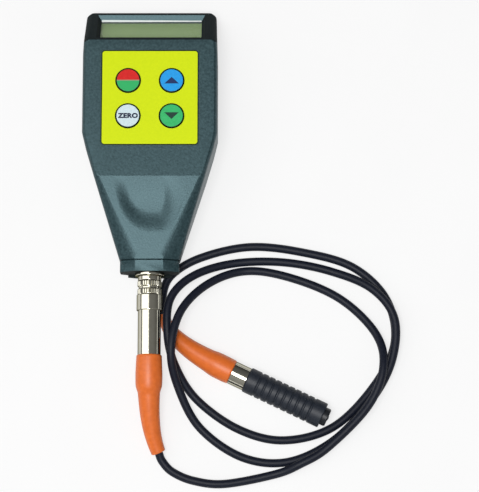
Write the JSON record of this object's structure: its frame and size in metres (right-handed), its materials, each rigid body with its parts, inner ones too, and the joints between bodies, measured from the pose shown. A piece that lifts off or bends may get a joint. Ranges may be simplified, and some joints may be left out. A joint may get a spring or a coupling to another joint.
{
  "type": "coating thickness gauge",
  "caption": "Hand-held coating thickness gauge in a dark grey case with a sloping display, a yellow key panel and a coiled probe lead",
  "frame": {"origin": "on the flat back of the case, midway along the case's length and width", "axes": "+Y runs from the neck to the display end, +Z is out of the front with the keys, +X is to the right seen from the front"},
  "size_m": [0.1525, 0.2319, 0.0277],
  "materials": {
    "case_front": "fine moulded texture",
    "case_back": "fine moulded texture",
    "panel_yellow": "printed film, satin",
    "key_red": "moulded, upper half red and lower half green",
    "key_blue": "moulded, printed triangle",
    "key_pale": "moulded, printed function name",
    "key_green": "moulded, printed triangle",
    "silicone": "matt",
    "gold_contact": "gold plated",
    "window_clear": "clear, polished",
    "lcd_glass": "reflective display, blank",
    "ribbon_amber": "flexible film",
    "board_green": "solder resist",
    "chip_black": "moulded",
    "screw_steel": "zinc plated",
    "cell_sleeve": "plain printed sleeve",
    "spring_steel": "nickel plated wire",
    "nickel": "bright turned nickel",
    "nut_brass": "plain",
    "insulator": "moulded",
    "boot_orange": "satin moulded rubber",
    "lead_black": "satin jacket",
    "grip_black": "ribbed, matt",
    "tip_dark": "moulded",
    "coil_copper": "wound enamelled wire",
    "core_steel": "polished wear face"
  },
  "bodies": {
    "case": {"front_shell": "case_front", "rear_shell": "case_back", "case_screws": "screw_steel", "key_panel": "panel_yellow", "key_domes": "silicone", "key_contacts": "gold_contact", "display_window": "window_clear", "lcd_panel": "lcd_glass", "lcd_ribbon": "ribbon_amber", "main_board": "board_green", "board_chips": "chip_black", "board_screws": "screw_steel", "battery_cells": "cell_sleeve", "battery_springs": "spring_steel", "battery_plates": "spring_steel", "socket_shell": "nickel", "socket_nut": "nut_brass", "socket_insert": "insulator", "socket_pins": "gold_contact", "plug_barrel": "nickel", "plug_insert": "insulator", "plug_contacts": "gold_contact", "plug_boot": "boot_orange", "probe_lead": "lead_black", "probe_boot": "boot_orange", "probe_tube": "nickel", "probe_grip": "grip_black", "probe_spring": "spring_steel"},
    "cover": {"battery_cover": "case_back"},
    "key_power": {"power_key": "key_red"},
    "key_up": {"up_key": "key_blue"},
    "key_zero": {"zero_key": "key_pale"},
    "key_down": {"down_key": "key_green"},
    "sleeve": {"plug_sleeve": "nickel"},
    "tip": {"probe_tip": "tip_dark", "sensor_coil": "coil_copper", "sensor_core": "core_steel"}
  },
  "joints": [
    {"name": "press_power", "type": "slide", "parent": "case", "child": "key_power", "axis": [0, 0, -1], "range_m": [0, 0.0006], "stiffness_N_per_m": 400, "deforming": ["key_domes"]},
    {"name": "press_up", "type": "slide", "parent": "case", "child": "key_up", "axis": [0, 0, -1], "range_m": [0, 0.0006], "stiffness_N_per_m": 400, "deforming": ["key_domes"]},
    {"name": "press_zero", "type": "slide", "parent": "case", "child": "key_zero", "axis": [0, 0, -1], "range_m": [0, 0.0006], "stiffness_N_per_m": 400, "deforming": ["key_domes"]},
    {"name": "press_down", "type": "slide", "parent": "case", "child": "key_down", "axis": [0, 0, -1], "range_m": [0, 0.0006], "stiffness_N_per_m": 400, "deforming": ["key_domes"]},
    {"name": "slide_cover", "type": "slide", "parent": "case", "child": "cover", "axis": [0, -1, 0], "range_m": [0, 0.01]},
    {"name": "pull_sleeve", "type": "slide", "parent": "case", "child": "sleeve", "axis": [0, -1, 0], "range_m": [0, 0.0015], "stiffness_N_per_m": 600},
    {"name": "press_tip", "type": "slide", "parent": "case", "child": "tip", "axis": [-0.9018, 0.4321, 0], "range_m": [0, 0.002], "stiffness_N_per_m": 300, "deforming": ["probe_spring"]}
  ]
}
